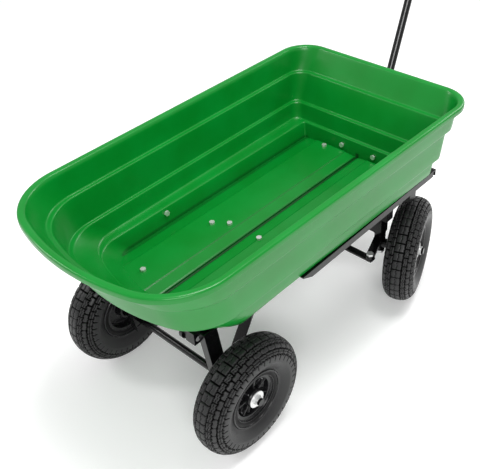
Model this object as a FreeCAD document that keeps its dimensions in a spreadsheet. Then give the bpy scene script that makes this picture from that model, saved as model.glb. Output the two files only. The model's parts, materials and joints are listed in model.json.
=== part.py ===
"""Garden dump cart: a plastic tub hinged on a steel chassis, with four pneumatic wheels, a pulled
steering handle, a tie bar between two steering knuckles, and a latch that holds the tub down.

Millimetres. The origin is on the ground under the middle of the rear axle; +X points to the
handle, +Y to the cart's left and +Z up. The steering is drawn turned by steer_angle."""

import FreeCAD, Part
import Sketcher
import math
import os
import re

DRIVING = {
    # wheels and track
    "wheel_radius": 130,
    "tyre_width": 76,
    "tyre_wall": 8,
    "tread_half": 26,
    "tread_drop": 2,
    "tyre_high": 78,
    "flange_high": 11,
    "flange_half": 27,
    "flange_thick": 2.2,
    "rim_wall": 6,
    "web_thick": 8,
    "hub_radius": 19,
    "hub_half": 24,
    "bearing_radius": 14,
    "bearing_length": 12,
    "rib_thick": 4,
    "rib_count": 7,
    "tube_wall": 2,
    "valve_radius": 3.5,
    "valve_bore": 1.2,
    "valve_side": 8.5,
    "valve_turn": 165,
    "axle_radius": 8,
    "wheel_room": 79,
    "wheel_base": 555,
    # fits
    "running": 0.05,
    "apart": 0.3,
    "bolt_play": 0.2,
    # steering
    "steer_angle": 19.5,
    "kingpin_out": 11,
    "stub_reach": 72,
    "arm_reach": 90,
    "arm_width": 20,
    "arm_thick": 8,
    "arm_lift": 20,
    "knuckle_radius": 14,
    "knuckle_drop": 17.7,
    "beam_lift": 34,
    "beam_high": 20,
    "beam_wide": 26,
    "tie_thick": 5,
    "tie_width": 18,
    "tie_pin_radius": 5,
    "pin_head_radius": 8.5,
    "pin_head_high": 6,
    "yoke_reach": 200,
    "yoke_drop": 20,
    "yoke_gap": 26,
    "yoke_plate": 6,
    "yoke_wide": 40,
    "pivot_radius": 6,
    "handle_lean": 50.2,
    "handle_radius": 11,
    "handle_length": 660,
    "eye_radius": 14,
    "grip_stem": 34,
    "grip_gap_long": 64,
    "grip_gap_wide": 92,
    "grip_bar": 24,
    "grip_thick": 26,
    # chassis
    "tube_wide": 25,
    "tube_high": 30,
    "tube_step": 3,
    "tyre_room": 5,
    "tube_gauge": 2.5,
    "tube_nose": 45,
    "hinge_x": -40,
    "hinge_drop": 18,
    "hinge_radius": 6,
    "tube_overhang": 10,
    "leg_depth": 33,
    "leg_wide": 18,
    "leg_lean": 6.9,
    "leg_foot_x": -5,
    "leg_foot_drop": 17,
    "leg_gauge": 3,
    "brace_foot_x": 12,
    "brace_lean": 32.3,
    "brace_wide": 24,
    "brace_thick": 4,
    "front_leg_depth": 28,
    "front_leg_wide": 22,
    "rear_cross_x": 150,
    "rail_out": 31,
    "rail_gap": 2,
    "rail_high": 16,
    "rail_thick": 3,
    "rail_start": 165,
    "plate_gap": 9.5,
    "front_plate_deep": 10.5,
    "bracket_thick": 18,
    "bracket_wide": 12,
    "bracket_back": 75,
    # tub
    "box_high": 42,
    "band_low": 42.8,
    "band_middle": 72.9,
    "band_high": 62.8,
    "box_draft_side": 6,
    "box_draft_front": 3,
    "rim_lip": 13.5,
    "skin": 4,
    "front_flare": 87,
    "tub_rear": -212,
    "half_front": 254,
    "rear_narrow": 9,
    "side_flare": 76,
    "box_nose": 79,
    "floor_lift": 3,
    "ridge_high": 10,
    "ridge_end": 12,
    "ridge_rear": -36,
    "channel_half": 4,
    "ridge_inner": 29,
    "ridge_slope": 44,
    "groove_wide": 15,
    "support_edge": 4,
    "support_wide": 50,
    "support_high": 12.7,
    "support_rear": -30,
    "support_end": 4,
    "wall_bolt_x": 147,
    "wall_bolt_drop": 9,
    "front_bolt_lift": 25,
    "front_bolt_side": 48,
    "bolt_radius": 4,
    "bolt_head": 6.5,
    "bolt_head_high": 5,
    "nut_radius": 7,
    "nut_high": 5,
    "ear_inside": 80,
    "ear_thick": 8,
    "ear_radius": 15,
    # latch
    "latch_nose": 12,
    "latch_drop": 25,
    "latch_thick": 8,
    "latch_hub": 10,
    "latch_reach": 26,
    "latch_throat": 15,
    "latch_pin_radius": 4,
    "latch_tail": 90,
    "keeper_back": 2,
    "keeper_drop": 34,
    "keeper_radius": 4,
    "keeper_half": 28,
    "keeper_plate_half": 60,
    "keeper_plate": 3,
}

# What lines up with another piece takes its place from the sizes above.
DERIVED = {
    "tread_radius": "wheel_radius - tread_drop",
    "rim_radius": "wheel_radius - tyre_high",
    "flange_radius": "rim_radius + flange_high",
    "tube_top": "2 * wheel_radius + tyre_room + bracket_thick",
    "hinge_height": "tube_top - hinge_drop",
    "beam_base": "wheel_radius + beam_lift",
    "arm_base": "wheel_radius + arm_lift",
    "knuckle_base": "wheel_radius - knuckle_drop",
    "yoke_height": "wheel_radius - yoke_drop",
    "floor_low": "tube_top + floor_lift",
    "shelf_height": "floor_low + box_high",
    "step_two_height": "shelf_height + band_low",
    "step_one_height": "step_two_height + band_middle",
    "rim_height": "step_one_height + band_high",
    "latch_height": "tube_top - latch_drop",
    "keeper_height": "floor_low - keeper_drop",
    "tube_front": "wheel_base + tube_nose",
    "front_cross_x": "tube_front - tube_wide",
    "bracket_rear_x": "wheel_base - bracket_back",
    "box_front": "wheel_base + box_nose",
    "tub_front": "box_front + front_flare",
    "front_plate_x": "box_front + plate_gap",
    "ridge_front": "box_front - ridge_end",
    "support_front": "ridge_front - support_end",
    "latch_x": "tube_front + latch_nose",
    "keeper_x": "box_front - keeper_back",
    "half_rear": "half_front - rear_narrow",
    "box_half": "half_front - side_flare",
    "rail_outside": "box_half + rail_out",
    "rail_inside": "box_half + rail_gap",
    "groove_inner": "box_half - groove_wide",
    "ridge_outer": "groove_inner - ridge_slope",
    "support_inner": "ridge_outer - support_edge - support_wide",
    "tube_outside": "support_inner + support_wide + tube_step",
    "kingpin_side": "tube_outside + kingpin_out",
    "track_half": "tube_outside + wheel_room",
    "wall_bolt_z": "shelf_height - wall_bolt_drop",
    "front_bolt_z": "floor_low + front_bolt_lift",
}

document = FreeCAD.newDocument("garden_cart")
sizes = document.addObject("Spreadsheet::Sheet", "sizes")
NAMES = {**DRIVING, **{alias: f"={formula}" for alias, formula in DERIVED.items()}}
for row, (alias, content) in enumerate(NAMES.items(), 1):
    sizes.set(f"A{row}", alias)
    sizes.set(f"B{row}", str(content))
    sizes.setAlias(f"B{row}", alias)
document.recompute()

subparts = []


def cells(text):
    """The expression with each dimension's name pointed at its cell."""
    return re.sub(r"[a-z]\w+", lambda m: f"sizes.{m[0]}" if m[0] in NAMES else m[0], str(text))


def cell(alias):
    """The number that a cell holds."""
    return float(sizes.get(alias))


def new(kind, **values):
    """A document object with each named property bound to an expression."""
    thing = document.addObject(kind, "piece")
    for name, text in values.items():
        thing.setExpression(name, cells(text))
    return thing


def turned(axis, angle):
    """The expression of a rotation about one axis."""
    direction = {"X": "1; 0; 0", "Y": "0; 1; 0", "Z": "0; 0; 1"}[axis]
    return f"create(<<rotation>>; create(<<vector>>; {direction}); {cells(angle)})"


def put(thing, x=0, y=0, z=0, *turns):
    """Binds the thing's placement to a position and rotations given as (axis, angle), outer first."""
    spot = f"create(<<vector>>; {cells(x)}; {cells(y)}; {cells(z)})"
    turn = " * ".join(turned(axis, angle) for axis, angle in turns) or turned("Z", 0)
    thing.setExpression("Placement", f"create(<<placement>>; {spot}; {turn})")
    return thing


def box(x0, x1, y0, y1, z0, z1):
    """A box between two planes on each axis."""
    block = new("Part::Box", Length=f"({x1}) - ({x0})", Width=f"({y1}) - ({y0})", Height=f"({z1}) - ({z0})")
    return put(block, x0, y0, z0)


STAND = {"X": [("Y", 90)], "Y": [("X", -90)], "Z": []}


def rod(axis, radius, length, x=0, y=0, z=0):
    """A cylinder that starts at x, y, z and runs along +axis."""
    return put(new("Part::Cylinder", Radius=radius, Height=length), x, y, z, *STAND[axis])


def hexagon(axis, radius, length, x=0, y=0, z=0):
    """A hexagonal prism, radius to its corners, that starts at x, y, z and runs along +axis."""
    prism = new("Part::Prism", Circumradius=radius, Height=length)
    prism.Polygon = 6
    return put(prism, x, y, z, *STAND[axis])


def ring(outer, inner, half, y=0):
    """A washer shape about the Y axis, from y - half to y + half."""
    start = f"({y}) - ({half})"
    length = f"2 * ({half})"
    hole = rod("Y", inner, f"{length} + 2", 0, f"{start} - 1", 0)
    return cut(rod("Y", outer, length, 0, start, 0), hole)


def fuse(*pieces):
    """The union of pieces that touch or overlap."""
    if len(pieces) == 1:
        return pieces[0]
    whole = document.addObject("Part::MultiFuse", "whole")
    whole.Shapes = list(pieces)
    return whole


def cut(base, *tools):
    """The base with every tool taken away."""
    rest = document.addObject("Part::Cut", "rest")
    rest.Base = base
    rest.Tool = fuse(*tools)
    return rest


def together(*pieces):
    """Separate solids kept as one compound."""
    pack = document.addObject("Part::Compound", "pack")
    pack.Links = list(pieces)
    return pack


def mirrored(thing):
    """The thing reflected to the cart's other side."""
    other = document.addObject("Part::Mirroring", "mirror")
    other.Source = thing
    other.Normal = (0, 1, 0)
    return other


def plate(role, outline, thick):
    """A PartDesign body: a sketched outline of (across, up) expressions on one origin plane, padded
    evenly about the plane."""
    body = document.addObject("PartDesign::Body", "plate")
    sketch = body.newObject("Sketcher::SketchObject", "outline")
    plane = [f for f in body.Origin.OriginFeatures if f.Role == role][0]
    sketch.AttachmentSupport = [(plane, "")]
    sketch.MapMode = "FlatFace"
    spots = [[document_value(text) for text in point] for point in outline]
    for index, here in enumerate(spots):
        after = spots[(index + 1) % len(spots)]
        line = Part.LineSegment(FreeCAD.Vector(*here, 0), FreeCAD.Vector(*after, 0))
        sketch.addGeometry(line, False)
    for index in range(len(spots)):
        following = (index + 1) % len(spots)
        sketch.addConstraint(Sketcher.Constraint("Coincident", index, 2, following, 1))
    for index, point in enumerate(outline):
        for kind, text, number in zip(("DistanceX", "DistanceY"), point, spots[index]):
            rule = sketch.addConstraint(Sketcher.Constraint(kind, -1, 1, index, 1, number))
            sketch.setExpression(f"Constraints[{rule}]", cells(text))
    pad = body.newObject("PartDesign::Pad", "pad")
    pad.Profile = sketch
    pad.Midplane = True
    pad.setExpression("Length", cells(thick))
    return body


probe = document.addObject("App::FeaturePython", "probe")
probe.addProperty("App::PropertyFloat", "Number")


def document_value(text):
    """The number that an expression of driving dimensions gives."""
    probe.setExpression("Number", cells(text))
    probe.recompute()
    return float(probe.Number)


def part(label, thing):
    """Registers a finished sub-part under its own label."""
    thing.Label = label
    subparts.append(thing)
    return thing


def solid_feature(shape):
    """A feature that holds a shape made with Part's own functions."""
    feature = document.addObject("Part::Feature", "shape")
    feature.Shape = shape
    return feature


# ---------------------------------------------------------------- tub


def outline(front, rear, half_front, half_rear, front_round, rear_round, bow, height):
    """The tub's plan outline at one height: a straight front, rounded front corners, sides that
    taper, rear corners and one shallow bow across the rear, every arc tangent to the next."""
    centre_x = rear + bow - math.sqrt((bow - rear_round) ** 2 - (half_rear - rear_round) ** 2)
    centre_y = half_rear - rear_round
    bow_x = rear + bow
    away = math.atan2(centre_y, centre_x - bow_x)
    front_y = half_front - front_round
    middle = (away + math.pi / 2) / 2

    def at(x, y):
        return FreeCAD.Vector(x, y, height)

    def corner(sign):
        slant = math.sqrt(0.5) * front_round
        start = at(front, sign * front_y)
        between = at(front - front_round + slant, sign * (front_y + slant))
        end = at(front - front_round, sign * half_front)
        return start, between, end

    def rear_corner(sign):
        start = at(centre_x, sign * half_rear)
        mid_x = centre_x + rear_round * math.cos(middle)
        between = at(mid_x, sign * (centre_y + rear_round * math.sin(middle)))
        end = at(bow_x + bow * math.cos(away), sign * bow * math.sin(away))
        return start, between, end

    left, right = corner(1), corner(-1)
    rear_left, rear_right = rear_corner(1), rear_corner(-1)
    return Part.Wire(
        [
            Part.LineSegment(right[0], left[0]).toShape(),
            Part.Arc(*left).toShape(),
            Part.LineSegment(left[2], rear_left[0]).toShape(),
            Part.Arc(*rear_left).toShape(),
            Part.Arc(rear_left[2], at(rear, 0), rear_right[2]).toShape(),
            Part.Arc(*reversed(rear_right)).toShape(),
            Part.LineSegment(rear_right[0], right[2]).toShape(),
            Part.Arc(*reversed(right)).toShape(),
        ]
    )


# Each level of the outer skin: height, then how far the front, rear and sides lie inside the rim's
# edge, and the radii of the front corner, rear corner and bow.
TOP = (cell("rim_height"), 14, 14, 14, 60, 126, 506)
STEP_ONE_OUT = (cell("step_one_height"), 36, 40, 17, 44.7, 121, 494)
STEP_ONE_IN = (cell("step_one_height"), 44.5, 50, 27, 40, 114, 484)
STEP_TWO_OUT = (cell("step_two_height"), 64.5, 69, 30.2, 26.6, 104, 454)
STEP_TWO_IN = (cell("step_two_height"), 73, 79, 39, 26, 99, 444)
SHELF = (cell("shelf_height"), 79, 129, 43, 26, 89, 404)


def level(spec, skin=0):
    """The outline of one level, moved in and up by the skin for the inside of the wall."""
    height, front_in, rear_in, side_in, front_round, rear_round, bow = spec
    lift = 0 if spec is TOP else skin
    return outline(
        cell("tub_front") - front_in - skin,
        cell("tub_rear") + rear_in + skin,
        cell("half_front") - side_in - skin,
        cell("half_rear") - side_in - skin,
        front_round - skin,
        rear_round - skin,
        bow - skin,
        height + lift,
    )


def band(upper, lower, skin=0):
    """The solid between two levels."""
    return Part.makeLoft([level(lower, skin), level(upper, skin)], True, True)


def box_solid(skin=0):
    """The lower box under the shelf, whose rear wall carries on the slope of the rear end."""
    half = cell("box_half") - skin
    front = cell("box_front") - skin
    low = cell("floor_low") + skin
    shelf = SHELF[0] + skin
    slope_top = cell("tub_rear") + SHELF[2] + 5 + skin
    slope_low = slope_top + 46
    top = outline(front, slope_top, half, half, 8 - skin, 64 - skin, 384 - skin, shelf)
    narrow = half - cell("box_draft_side")
    base = outline(front - cell("box_draft_front"), slope_low, narrow, narrow, 8 - skin, 44 - skin, 384 - skin, low)
    return Part.makeLoft([base, top], True, True)


def ridges(drop):
    """The two long raised ridges of the floor, lowered by drop for the underside."""
    low = cell("floor_low") + cell("skin") - drop
    high = low + cell("ridge_high")
    inset = 0 if drop else -cell("skin")
    rear = cell("ridge_rear") + inset
    front = cell("ridge_front") - inset
    made = []
    for sign in (1, -1):
        section = [
            (sign * cell("channel_half"), low),
            (sign * cell("ridge_inner"), high),
            (sign * cell("ridge_outer"), high),
            (sign * cell("groove_inner"), low),
        ]
        bottom = low - cell("skin")
        section += [(section[-1][0], bottom), (section[0][0], bottom)]
        points = [FreeCAD.Vector(rear, y, z) for y, z in section]
        face = Part.Face(Part.makePolygon(points + points[:1]))
        made.append(face.extrude(FreeCAD.Vector(front - rear, 0, 0)))
    return made[0].fuse(made[1])


def rim_solid(inset, low, high):
    """An upright prism of the rim's outline, moved in by inset."""
    base = outline(
        cell("tub_front") - inset,
        cell("tub_rear") + inset,
        cell("half_front") - inset,
        cell("half_rear") - inset,
        74 - inset,
        140 - inset,
        520 - inset,
        low,
    )
    return Part.Face(base).extrude(FreeCAD.Vector(0, 0, high - low))


def tub_skin():
    """The whole tub: outer body less the cavity, the rim flange and the ridged floor."""
    skin = cell("skin")
    top = cell("rim_height")
    bands = [(TOP, STEP_ONE_OUT), (STEP_ONE_IN, STEP_TWO_OUT), (STEP_TWO_IN, SHELF)]
    outer = box_solid().cut(ridges(skin))
    cavity = box_solid(skin).cut(ridges(0))
    for upper, lower in bands:
        outer = outer.fuse(band(upper, lower))
        cavity = cavity.fuse(band(upper, lower, skin))
    lip = rim_solid(0, top - cell("rim_lip"), top)
    lip = lip.cut(rim_solid(skin, top - cell("rim_lip") - 1, top - skin))
    return outer.fuse(lip).cut(cavity).removeSplitter()


RAIL_MIDDLE = "(support_inner + support_wide / 2)"
RAIL_BOLTS = [("0", f"{RAIL_MIDDLE} - 9"), ("200", f"{RAIL_MIDDLE} - 7"), ("support_front - 10", RAIL_MIDDLE)]
FLOOR_BOLTS = [(x, f"{sign} * ({y})", True) for sign in (1, -1) for x, y in RAIL_BOLTS]
FLOOR_BOLTS += [("223", "51", False), ("225", "-35", False)]
WALL_BOLT = ("wall_bolt_x", "wall_bolt_z")
FRONT_BOLTS = ["front_bolt_side", "-front_bolt_side"]
FRONT_BOLT_HEIGHT = "front_bolt_z"


def floor_bolt(radius_play, x, y):
    """A bolt's shank down through the floor and the support rail."""
    radius = f"bolt_radius + {radius_play}"
    return rod("Z", radius, "skin + ridge_high + support_high + nut_high + 4", x, y, "floor_low - 12")


def shanks(play):
    """Every tub bolt's shank, or its hole when play is more than nothing."""
    made = [floor_bolt(play, x, y) for x, y, railed in FLOOR_BOLTS]
    radius = f"bolt_radius + {play}"
    for sign in (1, -1):
        start = "box_half - 10" if sign > 0 else "-box_half - nut_high - 3"
        made.append(rod("Y", radius, "13 + nut_high", WALL_BOLT[0], start, WALL_BOLT[1]))
    for y in FRONT_BOLTS:
        made.append(rod("X", radius, "10 + keeper_plate + nut_high", "box_front - 8", y, FRONT_BOLT_HEIGHT))
    return made


part("tub", cut(solid_feature(tub_skin()), *shanks("bolt_play")))

SUPPORT_TOP = "floor_low + ridge_high"


def support(sign):
    """The hat-section rail under one ridge of the floor, open below."""
    inner, outer = "support_inner", "support_inner + support_wide"
    y0, y1 = (inner, outer) if sign > 0 else (f"-({outer})", f"-{inner}")
    low = f"{SUPPORT_TOP} - support_high"
    hat = box("support_rear", "support_front", y0, y1, low, SUPPORT_TOP)
    hollow_top = f"{SUPPORT_TOP} - rail_thick"
    hollow = box("support_rear - 1", "support_front + 1", f"{y0} + rail_thick", f"{y1} - rail_thick",
                 f"{low} - 1", hollow_top)
    holes = [floor_bolt("bolt_play", x, f"{sign} * ({y})") for x, y in RAIL_BOLTS]
    return cut(hat, hollow, *holes)


part("tub_rail_left", support(1))
part("tub_rail_right", support(-1))


def bolt_heads():
    """Hexagon heads on the inside of the tub, each made with its shank."""
    bolts = []
    for x, y, railed in FLOOR_BOLTS:
        head = hexagon("Z", "bolt_head", "bolt_head_high", x, y, f"{SUPPORT_TOP} + skin")
        foot = f"{SUPPORT_TOP} - rail_thick - nut_high - 1" if railed else f"{SUPPORT_TOP} - nut_high - 1"
        shank = rod("Z", "bolt_radius", f"{SUPPORT_TOP} + skin - ({foot})", x, y, foot)
        bolts.append(fuse(head, shank))
    wall = f"box_half - skin - box_draft_side * (shelf_height + skin - {WALL_BOLT[1]} + bolt_head) / box_high"
    for sign in (1, -1):
        inside = f"{wall} - bolt_head_high" if sign > 0 else f"-({wall})"
        outside = wall if sign > 0 else f"-({wall}) - skin - nut_high - 2"
        head = hexagon("Y", "bolt_head", "bolt_head_high", WALL_BOLT[0], inside, WALL_BOLT[1])
        shank = rod("Y", "bolt_radius", "skin + nut_high + 2", WALL_BOLT[0], outside, WALL_BOLT[1])
        bolts.append(fuse(head, shank))
    drop = f"(shelf_height + skin - {FRONT_BOLT_HEIGHT} + bolt_head)"
    face = f"box_front - skin - box_draft_front * {drop} / box_high"
    for y in FRONT_BOLTS:
        head = hexagon("X", "bolt_head", "bolt_head_high", f"{face} - bolt_head_high", y, FRONT_BOLT_HEIGHT)
        length = f"box_front + apart + keeper_plate + nut_high - ({face})"
        bolts.append(fuse(head, rod("X", "bolt_radius", length, face, y, FRONT_BOLT_HEIGHT)))
    return bolts


part("tub_bolts", together(*bolt_heads()))


def nut(axis, x, y, z):
    """A plain hexagon nut whose bore clears the bolt by the running fit."""
    reach = [x, y, z]
    reach["XYZ".index(axis)] = f"{reach['XYZ'.index(axis)]} - 1"
    hole = rod(axis, "bolt_radius + running", "nut_high + 2", *reach)
    return cut(hexagon(axis, "nut_radius", "nut_high", x, y, z), hole)


def tub_nuts():
    """One nut outside the tub for each bolt."""
    nuts = []
    for x, y, railed in FLOOR_BOLTS:
        seat = f"{SUPPORT_TOP} - rail_thick" if railed else SUPPORT_TOP
        nuts.append(nut("Z", x, y, f"{seat} - nut_high"))
    wall = f"box_half - box_draft_side * (shelf_height - {WALL_BOLT[1]} - nut_radius) / box_high"
    nuts.append(nut("Y", WALL_BOLT[0], wall, WALL_BOLT[1]))
    nuts.append(nut("Y", WALL_BOLT[0], f"-({wall}) - nut_high", WALL_BOLT[1]))
    for y in FRONT_BOLTS:
        nuts.append(nut("X", "box_front + apart + keeper_plate", y, FRONT_BOLT_HEIGHT))
    return nuts


part("tub_nuts", together(*tub_nuts()))


def ear(y0, y1):
    """One hinge ear: a lobe round the pin, carried up to the support rail."""
    length = f"({y1}) - ({y0})"
    lobe = rod("Y", "ear_radius", length, "hinge_x", y0, "hinge_height")
    low = f"{SUPPORT_TOP} - support_high"
    web = box("support_rear", "hinge_x + 2 * ear_radius", y0, y1, "hinge_height - ear_radius / 2", low)
    hole = rod("Y", "hinge_radius + running", f"{length} + 2", "hinge_x", f"{y0} - 1", "hinge_height")
    return cut(fuse(lobe, web), hole)


part(
    "hinge_ears",
    together(ear("ear_inside", "ear_inside + ear_thick"), ear("-ear_inside - ear_thick", "-ear_inside")),
)


def keeper():
    """The latch keeper: a plate bolted to the tub's front wall, two cheeks and a cross bar."""
    back = "box_front + apart"
    face = f"{back} + keeper_plate"
    holes = [
        rod("X", "bolt_radius + bolt_play", "keeper_plate + 2", f"{back} - 1", y, FRONT_BOLT_HEIGHT)
        for y in FRONT_BOLTS
    ]
    body = cut(box(back, face, "-keeper_plate_half", "keeper_plate_half", "floor_low + 10", "shelf_height - 2"), *holes)
    cheeks = [
        box("keeper_x - 6", face, y0, y1, "keeper_height - 6", "floor_low - 1")
        for y0, y1 in (("keeper_half - 6", "keeper_half"), ("-keeper_half", "6 - keeper_half"))
    ]
    hangers = [
        box(back, face, y0, y1, "floor_low - 2", "floor_low + 11")
        for y0, y1 in (("keeper_half - 6", "keeper_half"), ("-keeper_half", "6 - keeper_half"))
    ]
    bar = rod("Y", "keeper_radius", "2 * keeper_half - 2", "keeper_x", "1 - keeper_half", "keeper_height")
    return fuse(body, *cheeks, *hangers, bar)


part("latch_keeper", keeper())

# ---------------------------------------------------------------- chassis

TUBE_INSIDE = "tube_outside - tube_wide"
TUBE_LOW = "tube_top - tube_high"
TUBE_REAR = "hinge_x - tube_overhang"


def chassis_tube():
    """The left box-section side member, with the hinge pin's hole through its rear end."""
    y0, y1 = TUBE_INSIDE, "tube_outside"
    body = box(TUBE_REAR, "tube_front", y0, y1, TUBE_LOW, "tube_top")
    hollow = box("hinge_x + 14", "tube_front + 1", f"{y0} + tube_gauge", f"{y1} - tube_gauge",
                 f"{TUBE_LOW} + tube_gauge", "tube_top - tube_gauge")
    hole = rod("Y", "hinge_radius", "tube_wide + 2", "hinge_x", f"{y0} - 1", "hinge_height")
    return cut(body, hollow, hole)


left_tube = part("chassis_tube_left", chassis_tube())
part("chassis_tube_right", mirrored(left_tube))


def cross_member(x):
    """A box-section cross member between the two side members."""
    inside = TUBE_INSIDE
    body = box(x, f"{x} + tube_wide", f"-({inside})", inside, TUBE_LOW, "tube_top")
    hollow = box(f"{x} + tube_gauge", f"{x} + tube_wide - tube_gauge", f"-({inside}) - 1", f"{inside} + 1",
                 f"{TUBE_LOW} + tube_gauge", "tube_top - tube_gauge")
    return cut(body, hollow)


part("cross_member_rear", cross_member("rear_cross_x"))
part("cross_member_front", cross_member("front_cross_x"))
part("hinge_pin", rod("Y", "hinge_radius", "2 * tube_outside", "hinge_x", "-tube_outside", "hinge_height"))


def rear_leg():
    """The left channel that stands on the axle and is welded to the side member's outer face."""
    long = f"(tube_top - wheel_radius) / cos(leg_lean * 1 deg) + leg_foot_drop"
    body = new("Part::Box", Length="leg_depth", Width="leg_wide", Height=f"{long} + 20")
    hollow = new("Part::Box", Length="leg_depth - 2 * leg_gauge", Width="leg_wide", Height=f"{long} + 22")
    put(body, "-leg_depth / 2", 0, "-leg_foot_drop")
    put(hollow, "leg_gauge - leg_depth / 2", "-leg_gauge", "-leg_foot_drop - 1")
    channel = cut(body, hollow)
    put(channel, "leg_foot_x", "tube_outside", "wheel_radius", ("Y", "-leg_lean"))
    above = box("-200", "200", "tube_outside - 1", "tube_outside + leg_wide + 1", "tube_top", "tube_top + 60")
    hole = rod("Y", "axle_radius", "leg_wide + 2", 0, "tube_outside - 1", "wheel_radius")
    return cut(channel, above, hole)


left_leg = part("rear_leg_left", rear_leg())
part("rear_leg_right", mirrored(left_leg))


def rear_brace():
    """The left flat bar that leans forward from the axle up to the side member."""
    long = "(tube_top - wheel_radius) / cos(brace_lean * 1 deg)"
    bar = new("Part::Box", Length="brace_thick", Width="brace_wide", Height=f"{long} + 20")
    put(bar, "brace_foot_x - brace_thick / 2", "tube_outside", "wheel_radius", ("Y", "brace_lean"))
    above = box(0, 400, "tube_outside - 1", "tube_outside + brace_wide + 1", "tube_top", "tube_top + 60")
    leg = box(-100, "leg_foot_x + leg_depth / 2 + 1", "tube_outside - 1", "tube_outside + brace_wide + 1",
              0, "tube_top")
    foot = box("leg_foot_x + leg_depth / 2 + 1", "brace_foot_x + 8", "tube_outside", "tube_outside + leg_wide",
               "wheel_radius - 6", "wheel_radius + 12")
    return cut(fuse(bar, foot), above, leg)


left_brace = part("rear_brace_left", rear_brace())
part("rear_brace_right", mirrored(left_brace))


def bed_rail():
    """The left angle rail under the tub's shelf, with a tapered rear end."""
    top = "shelf_height - apart"
    low = f"{top} - rail_high"
    web = box("rail_start + 30", "front_plate_x", "rail_outside - rail_thick", "rail_outside", low, top)
    flange = box("rail_start", "front_plate_x", "rail_inside", "rail_outside", f"{top} - rail_thick", top)
    tip = plate("XZ_Plane", [("rail_start", f"{top} - rail_thick"), ("rail_start + 31", f"{top} - rail_thick"),
                             ("rail_start + 31", low), ("rail_start + 28", low)], "rail_thick")
    put(tip, 0, "rail_outside - rail_thick / 2", 0)
    return fuse(web, flange, tip)


left_rail = part("bed_rail_left", bed_rail())
part("bed_rail_right", mirrored(left_rail))


def side_brackets():
    """The left outriggers that carry the bed rail from the side member."""
    made = []
    for x in ("bracket_rear_x", "front_cross_x"):
        reach = box(x, f"{x} + tube_wide", "tube_outside", "rail_inside + bracket_wide",
                    "tube_top - bracket_thick", "tube_top")
        post = box(x, f"{x} + tube_wide", "rail_inside + 1", "rail_inside + bracket_wide", "tube_top - 1",
                   "shelf_height - apart - rail_thick")
        made.append(fuse(reach, post))
    return together(*made)


left_brackets = part("side_brackets_left", side_brackets())
part("side_brackets_right", mirrored(left_brackets))


def front_plate():
    """The angle across the front that joins the two bed rails ahead of the tub."""
    top = "shelf_height - apart"
    x0, x1 = "front_plate_x", "front_plate_x + front_plate_deep"
    flange = box(x0, x1, "-rail_outside", "rail_outside", f"{top} - rail_thick", top)
    web = box(f"{x1} - rail_thick", x1, "-rail_outside", "rail_outside", f"{top} - rail_high", top)
    return fuse(flange, web)


part("bed_front_plate", front_plate())


def front_leg():
    """The left upright over the kingpin, welded to the side member's outer face."""
    x0, x1 = "wheel_base - front_leg_depth / 2", "wheel_base + front_leg_depth / 2"
    body = box(x0, x1, "tube_outside", "tube_outside + front_leg_wide", "beam_base", "tube_top")
    hole = rod("Z", "axle_radius", 27, "wheel_base", "kingpin_side", "beam_base - 1")
    return cut(body, hole)


left_front_leg = part("front_leg_left", front_leg())
part("front_leg_right", mirrored(left_front_leg))


def front_beam():
    """The beam between the two front uprights, bored for the steering pivot."""
    x0, x1 = "wheel_base - beam_wide / 2", "wheel_base + beam_wide / 2"
    body = box(x0, x1, "-tube_outside", "tube_outside", "beam_base", "beam_base + beam_high")
    hole = rod("Z", "axle_radius", "beam_high + 2", "wheel_base", 0, "beam_base - 1")
    return cut(body, hole)


part("front_beam", front_beam())


def pivot_pin(y, top):
    """A vertical pin with a hexagon head below the pivoting part."""
    foot = "knuckle_base - apart"
    shank = rod("Z", "axle_radius", f"({top}) - ({foot})", "wheel_base", y, foot)
    head = hexagon("Z", "axle_radius + 5", 9, "wheel_base", y, f"{foot} - 9")
    return fuse(shank, head)


part("kingpins", together(*[pivot_pin(y, "beam_base + 26") for y in ("kingpin_side", "-kingpin_side")]))
part("steering_pivot", pivot_pin("0", "beam_base + beam_high"))

AXLE_END = "track_half + hub_half + 15"
part("rear_axle", rod("Y", "axle_radius", f"2 * ({AXLE_END})", 0, f"-({AXLE_END})", "wheel_radius"))


def washer_and_nut(start):
    """The washer and nut outboard of a wheel, about the Y axis from start outwards."""
    length = "2 * axle_radius + 40"
    bodies = fuse(rod("Y", "hub_radius", 2.5, 0, start, 0), hexagon("Y", 13, 9, 0, f"{start} + 2.5", 0))
    return cut(bodies, rod("Y", "axle_radius", length, 0, f"{start} - 10", 0))


def spacer(start, end):
    """The sleeve between the frame and a wheel's hub."""
    length = f"({end}) - ({start})"
    hole = rod("Y", "axle_radius", f"{length} + 2", 0, f"{start} - 1", 0)
    return cut(rod("Y", "axle_radius + 3", length, 0, start, 0), hole)


def rear_hardware():
    """Spacers, washers and nuts of both rear wheels."""
    outer = washer_and_nut("track_half + hub_half + apart")
    inner = spacer("tube_outside + leg_wide", "track_half - hub_half - apart")
    left = together(outer, inner)
    put(left, 0, 0, "wheel_radius")
    return together(left, mirrored(left))


part("rear_axle_hardware", rear_hardware())

# ---------------------------------------------------------------- latch


def latch_pin():
    """The latch's pin in its two ears on the front cross member."""
    front = "front_cross_x + tube_wide"
    ears = []
    for y0, y1 in (("latch_thick / 2 + apart", "latch_thick / 2 + 4"),
                   ("-latch_thick / 2 - 4", "-latch_thick / 2 - apart")):
        ears.append(box(front, "latch_x + 9", y0, y1, "latch_height - 10", "latch_height + 10"))
    pin = rod("Y", "latch_pin_radius", "latch_thick + 12", "latch_x", "-latch_thick / 2 - 6", "latch_height")
    return fuse(*ears, pin)


part("latch_bracket", latch_pin())


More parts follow.
